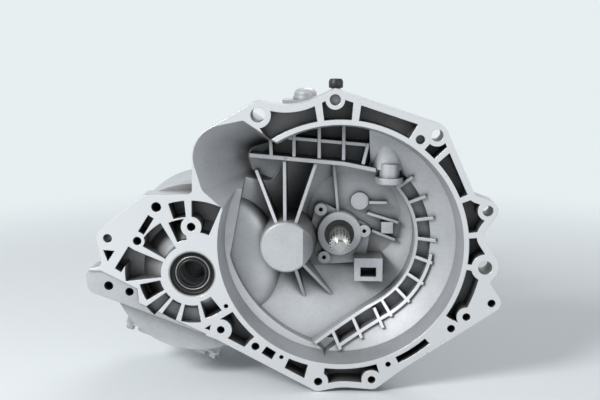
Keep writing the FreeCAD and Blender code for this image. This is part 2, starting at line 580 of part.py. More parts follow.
floorPads = extrude(padPlan, "15", "FloorPadSolid")

outputBoss = profileRing("OutputBoss", [("0", "boss_face"), ("boss_radius - 2", "boss_face"),
                                        ("boss_radius", "boss_face + 2"),
                                        ("boss_radius + boss_flank", "boss_root"),
                                        ("boss_radius + boss_flank", "100"), ("0", "100")],
                         "output_x", "output_z")
bossFlat = doc.addObject("Part::Wedge", "BossFlat")
for field, text in {"Xmin": "0", "Xmax": "boss_radius + 20", "X2min": "18", "X2max": "boss_radius + 20",
                    "Ymin": "0", "Ymax": "24", "Zmin": "-60", "Zmax": "60", "Z2min": "-60", "Z2max": "60"}.items():
    bossFlat.setExpression(field, bind(text))
move(bossFlat, "output_x + boss_flat", "boss_face - 0.5", "output_z")
outputBossCut = cut("OutputBossCut", outputBoss, bossFlat)
hubTurn = profileRing("HubTurn", [("0", "hub_face"), ("hub_radius - 1.5", "hub_face"),
                                  ("hub_radius", "hub_face + 1.5"), ("hub_radius + 1", "100"), ("0", "100")])
hubLugs = [cylinder(f"HubLug{index}", "hub_lug", "100 - hub_face - 0.6", f"plate_{name}_x", "hub_face + 0.6",
                    f"plate_{name}_z")
           for index, name in enumerate(("top", "end"))]
hubLugs.append(cylinder("HubLug2", "hub_lug", "100 - hub_face - 0.6", "-19.5", "hub_face + 0.6", "-31"))
hubPlatePlan = faceSketch("HubPlate", "hub_plate_face")
addBelt(hubPlatePlan, ["plate_low", "plate_right", "plate_end", "plate_top"])
hubPlate = extrude(hubPlatePlan, "18", "HubPlateSolid")

bulgeTurn = cylinder("BulgeCylinder", "bulge_radius", "100 - bulge_front", "axle_x", "bulge_front", "axle_z")
bulge = doc.addObject("Part::Fillet", "DifferentialBulge")
bulge.Base = bulgeTurn
FRONT_CIRCLE = 2
bulge.Edges = [(FRONT_CIRCLE, val("bulge_round"), val("bulge_round"))]

LEAN = Rotation(Vector(0, 1, 0), val("release_lean"))
releaseBoss = cylinder("ReleaseBoss", "release_radius", "bell_radius - release_foot + 10", "release_x",
                       "release_y", "release_foot", Rotation(Vector(0, 0, 1), 0))
releaseBack = box("ReleaseBack", "2 * release_radius", "100 - release_y", "bell_radius - release_foot + 10",
                  "release_x - release_radius", "release_y", "release_foot")
collar = cylinder("ReleaseCollar", "release_collar", "8", "release_x - 1", "release_y", "release_foot - 17",
                  Rotation(Vector(0, 0, 1), 0))
collarBack = box("ReleaseCollarBack", "2 * release_collar - 6", "100 - release_y", "8",
                 "release_x - release_collar + 2", "release_y", "release_foot - 17")
bracket = box("ReleaseBracket", "bracket_wide", "100 - bracket_face", "bracket_high",
              "bracket_x - bracket_wide / 2", "bracket_face", "bracket_z - bracket_high / 2")
block = box("FloorBlock", "15", "22", "15", "54", "78", "0")
bellStand = fuse("BellStand", [dishRibs] + gridRibs + webs + [floorRibs, floorPads, outputBossCut, hubTurn]
                 + hubLugs + [hubPlate, bulge, releaseBoss, releaseBack, collar, collarBack, bracket, block])
bellCore = cut("BellCore", bellVoid, bellStand)

# ---- Main casting: outside behind the engine face -----------------------------------------------
bellOuter = profileRing("BellOuter", [("0", "flange_depth - 8"), ("bell_radius + bell_wall", "flange_depth - 8"),
                                      ("bell_radius + bell_wall", "bell_skirt + bell_wall"),
                                      ("dish_radius + 8", "wall_front"), ("0", "wall_front")])
chuteShellPlan = faceSketch("ChuteShellPlan", "flange_depth - 6")
addBelt(chuteShellPlan, ["chute_tip", "chute_shell", "chute_shell_low", "chute_neck", "chute_crest"],
        "0 - casting_wall + 1.5")
chuteShell = extrude(chuteShellPlan, "chute_depth + casting_wall - flange_depth + 6", "ChuteShell")
gridBackPlan = faceSketch("GridBackPlan", "flange_depth - 10")
addLoop(gridBackPlan, [("-116", "recess_left_z - 2"), ("grid_end + 9", "recess_left_z - 12"),
                       ("grid_end + 9", "bell_radius + 5"), ("-84", "bell_radius + 5")])
gridBack = common("GridBack", [extrude(gridBackPlan, "grid_floor + casting_wall - flange_depth + 10", "GridBackSolid"),
                               cylinder("GridBackLimit", "bell_radius + bell_wall - 0.7", "120")])
gearBayPlan = faceSketch("GearBayPlan", "grid_floor")
gearBay = ["input_bay", "rail_bay", "output_bay"]
addBelt(gearBayPlan, gearBay)
gearBayBody = extrude(gearBayPlan, "joint_face - grid_floor", "GearBayBody")
axleBayPlan = faceSketch("AxleBayPlan", "flange_depth - 6")
addBelt(axleBayPlan, ["output_bay", "axle_bay"])
axleBayBody = extrude(axleBayPlan, "axle_back - flange_depth - 4", "AxleBayBody")
SUMP = Rotation(Vector(0, -1, 0), -val("sump_angle"))


def sumpPlace(item, along, y, out):
    """Places an item in the differential cover's frame: along the rim, along Y, and outwards."""
    cosine, sine = "cos(sump_angle)", "sin(sump_angle)"
    item.Placement = Placement(Vector(0, 0, 0), SUMP)
    return move(item, f"axle_x + ({along}) * {cosine} - ({out}) * {sine}", y,
                f"axle_z - ({along}) * {sine} - ({out}) * {cosine}")


sumpRim = box("SumpRim", "sump_long", "sump_wide", "40")
sumpPlace(sumpRim, "0 - sump_long / 2", "sump_start", "sump_reach")
sumpMouth = box("SumpMouth", "sump_long - 2 * sump_rim", "sump_wide - 2 * sump_rim", "70")
sumpPlace(sumpMouth, "0 - sump_long / 2 + sump_rim", "sump_start + sump_rim", "sump_reach + 5")
axleRearBoss = cylinder("AxleRearBoss", "axle_bearing_radius + 8", "20", "axle_x", "axle_back - 10", "axle_z")
turretPad = box("TurretPad", "turret_long", "turret_wide", "26", "turret_x - turret_long / 2",
                "turret_y - turret_wide / 2", "turret_base - 26")
outer = fuse("CastingOuter", [facePlate, bellOuter, chuteShell, gridBack, gearBayBody, axleBayBody, sumpRim,
                              axleRearBoss, turretPad])

# ---- Main casting: cavities behind the bell wall ------------------------------------------------
gearBayHollowPlan = faceSketch("GearBayHollow", "wall_front")
addBelt(gearBayHollowPlan, gearBay, "casting_wall")
gearHollow = extrude(gearBayHollowPlan, "joint_face - wall_front + 1", "GearHollow")
ringHollow = profileRing("RingHollow", [("0", "ring_front"), ("ring_cavity - 20", "ring_front"),
                                        ("ring_cavity - 20", "ring_front + 14"),
                                        ("ring_cavity", "ring_front + 14"),
                                        ("ring_cavity", "axle_back - 12"), ("0", "axle_back - 12")],
                         "axle_x", "axle_z")
pinionHollow = cylinder("PinionHollow", "pinion_cavity", "wall_front - output_bearing_y - bearing_width + 1",
                        "output_x", "output_bearing_y + bearing_width", "output_z")
seats = [
    cylinder("OutputSeat", "bearing_radius", "bearing_width + 1", "output_x", "output_bearing_y", "output_z"),
    cylinder("InputSeat", "bearing_radius", "wall_front - input_bearing_y + 1", "0", "input_bearing_y", "0"),
    cylinder("InputSealSeat", "seal_radius", "input_bearing_y - hub_face + 2", "0", "hub_face - 1", "0"),
    cylinder("AxleSealSeat", "seal_seat", "15", "axle_x", "-3", "axle_z"),
    cylinder("AxleBore", "axle_bore", "axle_back + 20", "axle_x", "-2", "axle_z"),
    cylinder("AxleSeat", "axle_bearing_radius", "ring_front - axle_bearing_y + 1", "axle_x", "axle_bearing_y",
             "axle_z"),
    cylinder("AxleRearSeat", "axle_bearing_radius", "axle_back - axle_rear_bearing_y + 14", "axle_x",
             "axle_rear_bearing_y", "axle_z"),
]
turretMouth = box("TurretMouth", "turret_long - 22", "turret_wide - 20", "60",
                  "turret_x - turret_long / 2 + 11", "turret_y - turret_wide / 2 + 10", "turret_base - 58")
holes = []
for name in lugs:
    holes.append(cylinder(name.title().replace("_", "") + "Hole", f"{name}_hole", f"{name}_deep + 5",
                          f"{name}_x", "-4", f"{name}_z"))
for index, (x, z) in enumerate((("plate_top_x", "plate_top_z"), ("plate_end_x", "plate_end_z"),
                                ("-19.5", "-31"))):
    holes.append(cylinder(f"HubTap{index}", "tap_radius", "14", x, "hub_face - 2", z))
releaseHole = cylinder("ReleaseHole", "release_bush_radius", "150", "release_x - 3.5", "release_y - 6",
                       "release_foot - 25", LEAN)
bracketMouth = box("BracketMouth", "20", "30", "12", "bracket_x - 10", "bracket_face - 2", "bracket_z - 9")
cavities = fuse("Cavities", [bellPocketVoid, bayVoid, stripStep, bellCore, gearHollow, ringHollow, pinionHollow]
                + seats + [turretMouth, sumpMouth, releaseHole, bracketMouth] + holes)
housing = cut("GearboxHousing", outer, cavities)
piece("gearbox_housing", housing)


# ---- Gear case and end cover --------------------------------------------------------------------
def shell(name, start, end, wall, floorFrom, floorTo):
    """A straight-walled case round the gear bay with one cross wall."""
    outerPlan = faceSketch(name + "Plan", start)
    addBelt(outerPlan, gearBay)
    innerPlan = faceSketch(name + "Inner", f"{start} - 1")
    addBelt(innerPlan, gearBay, wall)
    hollow = extrude(innerPlan, f"{end} - ({start}) + 2", name + "Hollow")
    wallPlan = faceSketch(name + "Wall", floorFrom)
    addBelt(wallPlan, gearBay, "1")
    ring = cut(name + "Ring", extrude(outerPlan, f"{end} - ({start})", name + "Block"), hollow)
    return fuse(name + "Shell", [ring, extrude(wallPlan, f"{floorTo} - ({floorFrom})", name + "WallBlock")])


caseShell = shell("GearCase", "joint_face", "case_wall_back", "casting_wall", "case_wall_front", "case_wall_back")
caseSeats = fuse("CaseSeats", [
    cylinder("InputRearSeat", "bearing_radius", "30", "0", "case_wall_front - 2", "0"),
    cylinder("OutputRearSeat", "bearing_radius", "30", "output_x", "case_wall_front - 2", "output_z"),
    cylinder("RailHoleCase", "rail_radius", "30", "rail_x", "case_wall_front - 5", "rail_z")])
piece("gear_case", cut("GearCase", caseShell, caseSeats))
coverShell = shell("EndCover", "case_wall_back", "cover_back", "casting_wall - 2", "cover_back - 4", "cover_back")
piece("end_cover", coverShell)

# ---- Pressed differential cover -----------------------------------------------------------------
sheetPlate = sumpPlace(box("SumpSheet", "sump_long", "sump_wide", "sump_sheet"), "0 - sump_long / 2",
                       "sump_start", "sump_reach + sump_sheet")
dome = sumpPlace(box("SumpDome", "sump_long - 2 * sump_rim - 4", "sump_wide - 2 * sump_rim - 4",
                     "sump_bulge + sump_sheet"), "0 - sump_long / 2 + sump_rim + 2",
                 "sump_start + sump_rim + 2", "sump_reach + sump_bulge + sump_sheet")
domeSoft = doc.addObject("Part::Fillet", "SumpDomeSoft")
domeSoft.Base = dome
domeSoft.Edges = [(edge, 7, 7) for edge in (1, 3, 5, 7)]
domeHollow = sumpPlace(box("SumpDomeHollow", "sump_long - 2 * sump_rim - 8", "sump_wide - 2 * sump_rim - 8",
                           "sump_bulge + sump_sheet"), "0 - sump_long / 2 + sump_rim + 4",
                       "sump_start + sump_rim + 4", "sump_reach + sump_bulge")
piece("differential_cover", cut("SumpCover", fuse("SumpSolid", [sheetPlate, domeSoft]), domeHollow))

# ---- Shift turret -------------------------------------------------------------------------------
turretFlange = box("TurretFlange", "turret_long", "turret_wide", "8", "turret_x - turret_long / 2",
                   "turret_y - turret_wide / 2", "turret_base")
UP = Rotation(Vector(0, 0, 1), 0)
turretBody = cylinder("TurretBody", "19", "62", "turret_x + 5", "turret_y", "turret_base + 2", UP)
turretHead = box("TurretHead", "44", "34", "18", "turret_x - 21", "turret_y - 17", "turret_base + 61")
turretBore = cylinder("TurretBore", "8", "100", "turret_x + 9", "turret_y", "turret_base - 5", UP)
turretRoom = box("TurretRoom", "turret_long - 22", "turret_wide - 20", "9",
                 "turret_x - turret_long / 2 + 11", "turret_y - turret_wide / 2 + 10", "turret_base - 5")
piece("shift_turret", cut("ShiftTurret", fuse("TurretSolid", [turretFlange, turretBody, turretHead]),
                          fuse("TurretVoid", [turretBore, turretRoom])))

# ---- Shafts -------------------------------------------------------------------------------------
turned("input_shaft", [("0", "spline_tip"), ("pilot_radius", "spline_tip"), ("pilot_radius", "spline_tip + 12"),
                       ("spline_radius", "spline_tip + 14"), ("spline_radius", "spline_end"),
                       ("input_journal", "spline_end + 3"), ("input_journal", "wall_front"),
                       ("neck_radius", "wall_front + 2"), ("neck_radius", "cover_back - 7"), ("0", "cover_back - 7")])
turned("output_shaft", [("0", "output_bearing_y + 1"), ("output_journal", "output_bearing_y + 1"),
                        ("output_journal", "wall_front"), ("output_radius", "wall_front"),
                        ("output_radius", "case_wall_front"), ("output_journal", "case_wall_front"),
                        ("output_journal", "cover_back - 7"), ("0", "cover_back - 7")],
       "output_x", "output_z")


def bearing(label, outside, inside, start, width, x="0", z="0"):
    """One bearing as a ring that fills its seat."""
    return turned(label, [(inside, start), (outside, start), (outside, f"{start} + {width}"),
                          (inside, f"{start} + {width}")], x, z)


bearing("input_front_bearing", "bearing_radius", "input_journal + running_gap", "input_bearing_y", "bearing_width")
bearing("input_rear_bearing", "bearing_radius", "neck_radius + running_gap", "case_wall_front", "bearing_width")
bearing("output_front_bearing", "bearing_radius", "output_journal + running_gap", "output_bearing_y",
        "bearing_width", "output_x", "output_z")
bearing("output_rear_bearing", "bearing_radius", "output_journal + running_gap", "case_wall_front",
        "bearing_width", "output_x", "output_z")
bearing("differential_front_bearing", "axle_bearing_radius", "axle_bore - 2 + running_gap", "axle_bearing_y",
        "axle_bearing_width", "axle_x", "axle_z")
bearing("differential_rear_bearing", "axle_bearing_radius", "axle_bore - 2 + running_gap", "axle_rear_bearing_y",
        "axle_bearing_width", "axle_x", "axle_z")
turned("input_shaft_seal", [("input_journal + running_gap", "hub_face + 1"), ("seal_radius", "hub_face + 1"),
                            ("seal_radius", "hub_face + 1 + seal_width"),
                            ("seal_radius - 2", "hub_face + 1 + seal_width"),
                            ("seal_radius - 2", "hub_face + 3"), ("input_journal + running_gap", "hub_face + 3")])
turned("axle_seal", [("axle_bore - 7", "3"), ("axle_bore - 6", "1.5"), ("seal_seat - 3", "0.5"),
                     ("seal_seat", "1.5"), ("seal_seat", "11.5"), ("seal_seat - 3", "11.5"),
                     ("seal_seat - 3", "5"), ("axle_bore - 5", "6")], "axle_x", "axle_z")
turned("rear_axle_seal", [("axle_bore - 7", "axle_back + 8"), ("axle_bearing_radius - 2", "axle_back + 8"),
                          ("axle_bearing_radius", "axle_back + 6"), ("axle_bearing_radius", "axle_back - 1"),
                          ("axle_bearing_radius - 3", "axle_back - 1"), ("axle_bearing_radius - 3", "axle_back + 6"),
                          ("axle_bore - 7", "axle_back + 6")], "axle_x", "axle_z")

# ---- Gears --------------------------------------------------------------------------------------
CENTRE = "hypot(output_x; output_z)"
OUTPUT_SIDE = math.degrees(math.atan2(val("output_z"), val("output_x")))
AXLE_SIDE = math.degrees(math.atan2(val("axle_z - output_z"), val("axle_x - output_x")))
FINAL_CENTRE = "hypot(axle_x - output_x; axle_z - output_z)"


def toothed(name, teeth, pitch, phase, middle, face, x="0", z="0", bore=None):
    """A toothed wheel with one tooth centred on the phase angle in degrees."""
    count, pitchRadius = int(val(teeth)), val(pitch)
    module = 2 * pitchRadius / count
    tip, root = pitchRadius + 0.7 * module, pitchRadius - 0.95 * module
    quarter = math.pi / (2 * count) * (1 - val("backlash"))
    lean = math.tan(math.radians(20)) * module / pitchRadius
    halves = [(root, quarter + 0.95 * lean), (tip, quarter - 0.75 * lean),
              (tip, -quarter + 0.75 * lean), (root, -quarter - 0.95 * lean)]
    sketch = faceSketch(name + "Teeth", f"{middle} - ({face}) / 2")
    points = []
    for tooth in range(count):
        middleAngle = math.radians(val(phase)) - 2 * math.pi * tooth / count
        points += [Vector(r * math.cos(middleAngle + half) + val(x), r * math.sin(middleAngle + half) + val(z), 0)
                   for r, half in halves]
    for here, there in zip(points, points[1:] + points[:1]):
        sketch.addGeometry(Part.LineSegment(here, there))
    if bore:
        addCircle(sketch, x, z, bore)
    return extrude(sketch, face, name + "Wheel")


gears = ["first", "second", "third", "fourth", "fifth"]
driveWheels = []
for name in gears:
    pitch = f"{CENTRE} * {name}_drive / ({name}_drive + {name}_driven)"
    wheel = toothed(name.title() + "Drive", f"{name}_drive", pitch, OUTPUT_SIDE, f"{name}_y", "gear_face",
                    bore="neck_radius" if name == "fifth" else "neck_radius - 0.5")
    if name == "fifth":
        piece("fifth_drive_gear", wheel)
    else:
        driveWheels.append(wheel)
    gap = f"{OUTPUT_SIDE} + 180 + 180 / {name}_driven"
    driven = toothed(name.title() + "Driven", f"{name}_driven", f"{CENTRE} - {pitch}", gap, f"{name}_y",
                     "gear_face", "output_x", "output_z", "output_radius + 0.3" if name != "fifth" else
                     "output_journal + 0.3")
    piece(f"{name}_driven_gear", driven)


pinionPitch = f"{FINAL_CENTRE} * final_drive / (final_drive + final_driven)"
pinion = toothed("Pinion", "final_drive", pinionPitch, AXLE_SIDE, "final_y", "pinion_face", "output_x", "output_z")
ringGear = toothed("Ring", "final_driven", f"{FINAL_CENTRE} - {pinionPitch}",
                   f"{AXLE_SIDE} + 180 + 180 / final_driven", "final_y", "ring_gear_face", "axle_x", "axle_z",
                   "axle_case_radius + 14")
piece("ring_gear", ringGear)

# Reverse: the idler meets a pinion of the input shaft and its own wheel on the output shaft.
drivePitch, idlePitch, drivenPitch = (f"reverse_module * reverse_{name} / 2" for name in ("drive", "idle", "driven"))
centre, near, far = val(CENTRE), val(f"{drivePitch} + {idlePitch}"), val(f"{idlePitch} + {drivenPitch}")
along = (near * near - far * far + centre * centre) / (2 * centre)
below = math.sqrt(near * near - along * along)
towardX, towardZ = val("output_x") / centre, val("output_z") / centre
idlerX, idlerZ = towardX * along - towardZ * below, towardZ * along + towardX * below
reverseSide = math.degrees(math.atan2(idlerZ, idlerX))
drivenSide = math.degrees(math.atan2(val("output_z") - idlerZ, val("output_x") - idlerX))
reverseDrive = toothed("ReverseDrive", "reverse_drive", drivePitch, reverseSide, "reverse_y", "gear_face",
                       bore="neck_radius - 0.5")
idlerPhase = reverseSide + 180 + 180 / val("reverse_idle")
piece("reverse_idler", toothed("ReverseIdler", "reverse_idle", idlePitch, idlerPhase, "reverse_y", "gear_face",
                               str(idlerX), str(idlerZ), "idler_shaft_radius + running_gap"))
# The idler tooth nearest the line to the output shaft sets the angle of the driven wheel's gap.
idlerPitchAngle = 360 / val("reverse_idle")
lag = (drivenSide - idlerPhase + idlerPitchAngle / 2) % idlerPitchAngle - idlerPitchAngle / 2
drivenPhase = drivenSide + 180 + lag * val("reverse_idle / reverse_driven") + 180 / val("reverse_driven")
piece("reverse_driven_gear", toothed("ReverseDriven", "reverse_driven", drivenPitch, drivenPhase, "reverse_y",
                                     "gear_face", "output_x", "output_z", "output_journal + 0.3"))
turned("reverse_idler_shaft", [("0", "reverse_y - gear_face / 2 - 4"),
                               ("idler_shaft_radius", "reverse_y - gear_face / 2 - 4"),
                               ("idler_shaft_radius", "cover_back - 2"), ("0", "cover_back - 2")],
       str(idlerX), str(idlerZ))
inputShaft = pieces.pop("input_shaft")
inputShaft.Label = "InputBar"
piece("input_shaft", fuse("InputShaft", [inputShaft, reverseDrive] + driveWheels))
outputShaft = pieces.pop("output_shaft")
outputShaft.Label = "OutputBar"
piece("output_shaft", fuse("OutputShaft", [outputShaft, pinion]))

# ---- Synchroniser hubs, sleeves and forks -------------------------------------------------------
for name, sleeve in (("low", "first_second"), ("high", "third_fourth"), ("top", "fifth_reverse")):
    middle = f"{name}_sleeve_y"
    shaft = "output_radius" if name != "top" else "output_journal"
    turned(f"{sleeve}_hub", [(shaft, f"{middle} - 9"), ("sleeve_radius - 7", f"{middle} - 9"),
                             ("sleeve_radius - 7", f"{middle} + 9"), (shaft, f"{middle} + 9")],
           "output_x", "output_z")
    turned(f"{sleeve}_sleeve", [("sleeve_radius - 6.8", f"{middle} - 8"), ("sleeve_radius", f"{middle} - 8"),
                                ("sleeve_radius", f"{middle} - fork_width / 2 - fork_play"),
                                ("sleeve_radius - fork_groove", f"{middle} - fork_width / 2 - fork_play"),
                                ("sleeve_radius - fork_groove", f"{middle} + fork_width / 2 + fork_play"),
                                ("sleeve_radius", f"{middle} + fork_width / 2 + fork_play"),
                                ("sleeve_radius", f"{middle} + 8"), ("sleeve_radius - 6.8", f"{middle} + 8")],
           "output_x", "output_z")
    plan = faceSketch(f"{name.title()}Fork", f"{middle} - fork_width / 2")
    addSector(plan, "output_x", "output_z", "sleeve_radius - fork_groove + 0.4", "sleeve_radius + 7", "-40", "150")
    arm = faceSketch(f"{name.title()}ForkArm", f"{middle} - fork_width / 2")
    addBar(arm, "output_x + (sleeve_radius + 4) * cos(67)", "output_z + (sleeve_radius + 4) * sin(67)",
           "rail_x", "rail_z", "14")
    eye = cylinder(f"{name.title()}ForkEye", "rail_radius + 5", "20", "rail_x", f"{middle} - 10", "rail_z")
    solid = fuse(f"{name.title()}ForkSolid", [extrude(plan, "fork_width"), extrude(arm, "fork_width"), eye])
    slide = cylinder(f"{name.title()}ForkBore", "rail_radius + running_gap", "30", "rail_x", f"{middle} - 15", "rail_z")
    piece(f"{sleeve}_fork", cut(f"{name.title()}ForkCut", solid, slide))
turned("shift_rail", [("0", "wall_front + 4"), ("rail_radius", "wall_front + 4"),
                      ("rail_radius", "cover_back - 6"), ("0", "cover_back - 6")], "rail_x", "rail_z")

# ---- Differential -------------------------------------------------------------------------------
turned("differential_case", [("axle_bore - 7", "axle_bearing_y + 2"), ("axle_bore - 2", "axle_bearing_y + 2"),
                             ("axle_bore - 2", "ring_front + 4"), ("axle_case_radius", "ring_front + 12"),
                             ("axle_case_radius + 14", "ring_front + 12"),
                             ("axle_case_radius + 14", "final_y + ring_gear_face / 2"),
                             ("axle_case_radius + 27", "final_y + ring_gear_face / 2"),
                             ("axle_case_radius + 27", "final_y + ring_gear_face / 2 + 7"),
                             ("axle_case_radius", "final_y + ring_gear_face / 2 + 7"),
                             ("axle_case_radius", "axle_rear_bearing_y - 14"),
                             ("axle_bore - 2", "axle_rear_bearing_y - 3"),
                             ("axle_bore - 2", "axle_rear_bearing_y + axle_bearing_width - 2"),
                             ("axle_bore - 7", "axle_rear_bearing_y + axle_bearing_width - 2")],
       "axle_x", "axle_z")

# ---- Check and write every sub-part -------------------------------------------------------------
doc.recompute()
failed = [item.Name for item in doc.Objects if "Invalid" in item.State or "Error" in item.State]
broken = [label for label, item in pieces.items() if item.Shape.isNull() or not item.Shape.isValid()]
if failed or broken:
    raise RuntimeError(f"failed objects {failed}, broken sub-parts {broken}")
os.makedirs("parts", exist_ok=True)
for label, item in pieces.items():
    item.Shape.exportStep(f"parts/{label}.step")
print(len(pieces), "sub-parts written")
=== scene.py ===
# Looks for the five-speed transaxle: materials, studio, fasteners and the fine parts of the casting.
import json
import math

import bmesh
import bpy
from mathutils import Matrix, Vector


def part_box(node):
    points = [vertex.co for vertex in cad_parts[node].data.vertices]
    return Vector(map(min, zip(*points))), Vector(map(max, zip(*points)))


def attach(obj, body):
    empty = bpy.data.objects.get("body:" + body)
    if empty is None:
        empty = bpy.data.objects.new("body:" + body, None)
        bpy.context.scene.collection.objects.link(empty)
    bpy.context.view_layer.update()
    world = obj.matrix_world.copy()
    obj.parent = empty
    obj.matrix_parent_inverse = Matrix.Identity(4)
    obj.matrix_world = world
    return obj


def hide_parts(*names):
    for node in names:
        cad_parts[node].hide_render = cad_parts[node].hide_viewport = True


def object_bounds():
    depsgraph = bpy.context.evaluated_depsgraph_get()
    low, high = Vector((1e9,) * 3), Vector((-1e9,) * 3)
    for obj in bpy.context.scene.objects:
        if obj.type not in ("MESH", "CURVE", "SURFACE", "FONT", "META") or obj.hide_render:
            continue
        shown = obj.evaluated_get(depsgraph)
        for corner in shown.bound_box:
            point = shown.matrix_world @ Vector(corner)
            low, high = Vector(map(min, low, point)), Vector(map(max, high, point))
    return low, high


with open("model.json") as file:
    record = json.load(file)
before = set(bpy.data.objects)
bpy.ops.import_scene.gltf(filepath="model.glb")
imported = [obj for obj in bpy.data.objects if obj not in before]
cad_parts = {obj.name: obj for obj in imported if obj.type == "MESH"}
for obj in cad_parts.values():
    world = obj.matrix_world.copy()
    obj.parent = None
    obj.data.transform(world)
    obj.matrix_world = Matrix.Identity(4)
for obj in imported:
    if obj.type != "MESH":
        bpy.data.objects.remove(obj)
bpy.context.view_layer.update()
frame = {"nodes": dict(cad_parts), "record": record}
nodes = frame["nodes"]
mm = 0.001
print("frame loaded:", len(nodes), "nodes")

# Shaft lines of the model, in metres: x and z of each axis.
axes = {"input": (0.0, 0.0), "rail": (-0.036, 0.060), "output": (-0.067, -0.008), "axle": (-0.1794, -0.0342)}


def newMaterial(name):
    material = bpy.data.materials.new(name)
    material.use_nodes = True
    tree = material.node_tree
    tree.nodes.clear()
    output = tree.nodes.new("ShaderNodeOutputMaterial")
    shader = tree.nodes.new("ShaderNodeBsdfPrincipled")
    tree.links.new(shader.outputs["BSDF"], output.inputs["Surface"])
    return material, tree, shader


def addNode(tree, kind, settings=None, **inputs):
    node = tree.nodes.new(kind)
    for key, value in (settings or {}).items():
        setattr(node, key, value)
    for key, value in inputs.items():
        socket = node.inputs[key.replace("_", " ")]
        if isinstance(value, bpy.types.NodeSocket):
            tree.links.new(value, socket)
        else:
            socket.default_value = value
    return node


def ramp(tree, factor, stops):
    node = addNode(tree, "ShaderNodeValToRGB", Fac=factor)
    elements = node.color_ramp.elements
    while len(elements) < len(stops):
        elements.new(0.5)
    for element, (place, colour) in zip(elements, stops):
        element.position = place
        element.color = (*colour, 1.0)
    return node.outputs["Color"]


def mathNode(tree, operation, first, second=0.5):
    node = tree.nodes.new("ShaderNodeMath")
    node.operation = operation
    for index, value in enumerate((first, second)):
        if isinstance(value, bpy.types.NodeSocket):
            tree.links.new(value, node.inputs[index])
        else:
            node.inputs[index].default_value = value
    return node.outputs[0]


def mixColour(tree, factor, first, second, blend="MIX"):
    node = tree.nodes.new("ShaderNodeMix")
    node.data_type = "RGBA"
    node.blend_type = blend
    for key, value in (("Factor", factor), ("A", first), ("B", second)):
        socket = next(item for item in node.inputs
                      if item.enabled and item.name == key and (item.type == "RGBA" or key == "Factor"))
        if isinstance(value, bpy.types.NodeSocket):
            tree.links.new(value, socket)
        else:
            socket.default_value = value if key == "Factor" else (*value, 1.0)
    return next(item for item in node.outputs if item.type == "RGBA" and item.enabled)


def objectPoint(tree):
    return tree.nodes.new("ShaderNodeTexCoord").outputs["Object"]


castLook = {
    "pale": (0.60, 0.61, 0.63), "shade": (0.42, 0.43, 0.45), "shadeFrom": 0.30, "paleFrom": 0.62,
    "speckleShare": 0.25, "speckleShade": 0.35, "specklePale": 0.65,
    # painted shade colours for hollows, from the deepest to none, and the reach of the occlusion that sets
    # them
    "hollow": (0.035, 0.033, 0.032), "paintedShadeHalf": (0.42, 0.41, 0.40), "open": (1.0, 1.0, 1.0),
    "hollowStops": (0.08, 0.42, 0.9), "hollowReach": 0.045, "rayCount": 4,
    "machinedDark": (0.66, 0.67, 0.68), "machined": (0.80, 0.81, 0.82), "machinedDepth": 0.0004,
    "millMarks": 420.0, "millWobble": 1.5, "machinedGloss": 0.14,
    "metallic": 0.5, "roughness": 0.34, "roughSpread": 0.18,
    "grain": 900.0, "speckle": 260.0, "blotch": 9.0, "grainBump": 0.22,
    "grainDepth": 0.0004, "edgeRadius": 0.0012,
}


